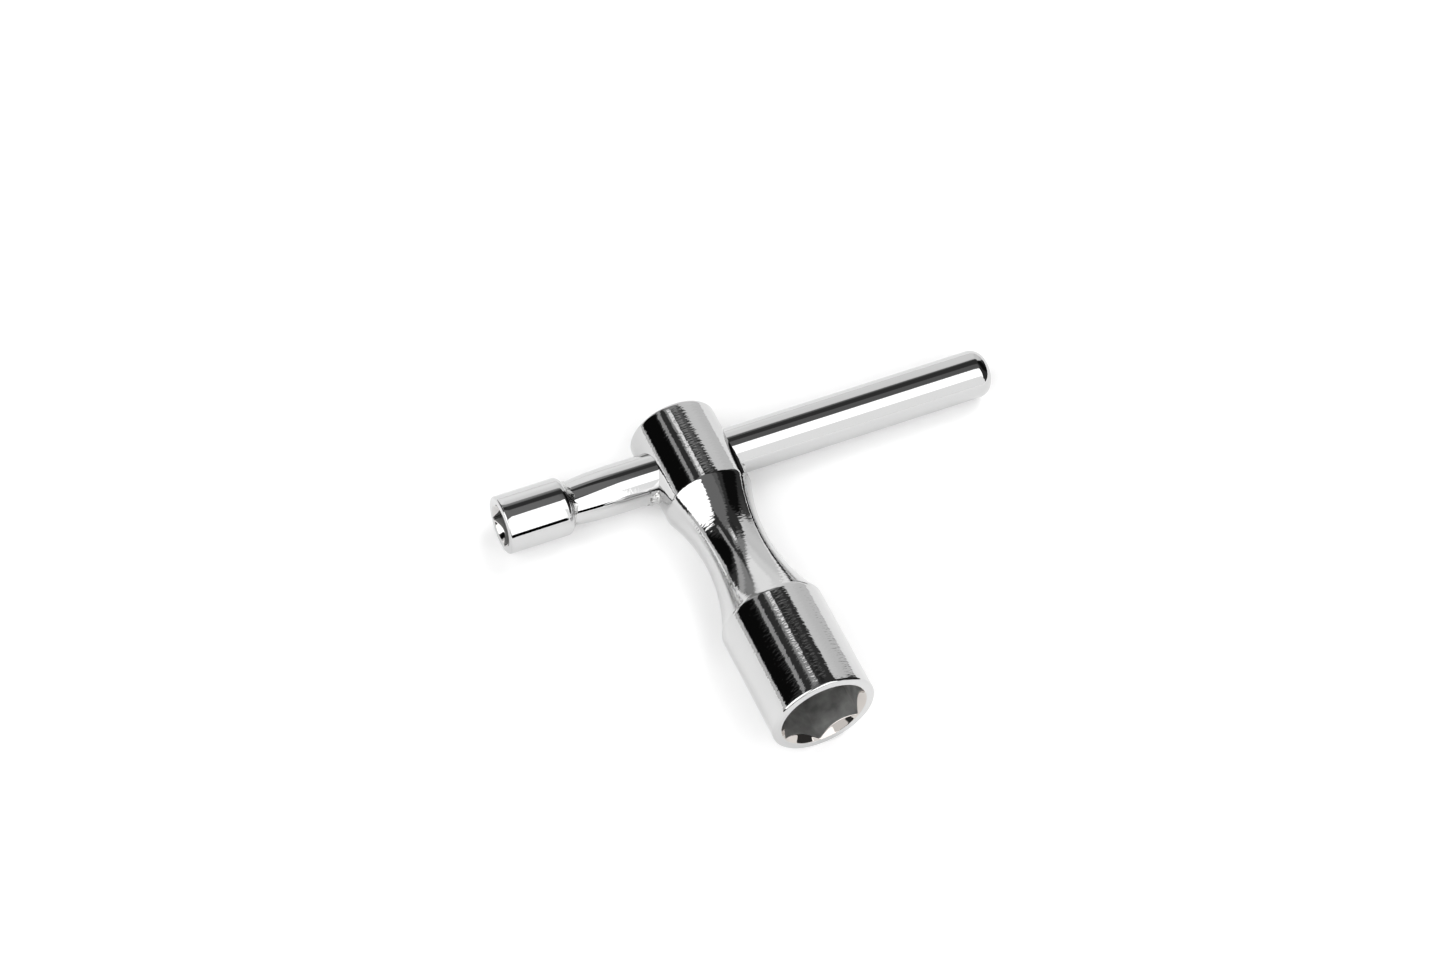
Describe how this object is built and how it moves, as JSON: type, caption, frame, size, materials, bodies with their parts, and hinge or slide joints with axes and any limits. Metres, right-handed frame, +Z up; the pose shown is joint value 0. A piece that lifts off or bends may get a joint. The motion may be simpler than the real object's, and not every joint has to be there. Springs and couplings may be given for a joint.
{
  "type": "radiator bleed key",
  "caption": "T-shaped radiator bleed key: a waisted stem with a large hexagon socket, and a round cross bar with a small square socket at one end.",
  "frame": {"origin": "middle of the stem's flat end face, on the stem's axis", "axes": "+X along the cross bar towards its plain domed end, +Y along the stem's axis out of its end face (the hexagon mouth faces -Y), +Z up"},
  "size_m": [0.0846, 0.0578, 0.017],
  "materials": {
    "stem_plating": "bright polished nickel-chrome plating",
    "bar_plating": "bright polished nickel-chrome plating",
    "head_plating": "bright polished nickel-chrome plating",
    "plated_braze": "plated over rough braze, satin"
  },
  "bodies": {
    "root": {"socket_stem": "stem_plating", "cross_bar": "bar_plating", "square_socket_head": "head_plating", "left_braze_bead": "plated_braze", "right_braze_bead": "plated_braze", "head_braze_bead": "plated_braze"}
  },
  "joints": []
}
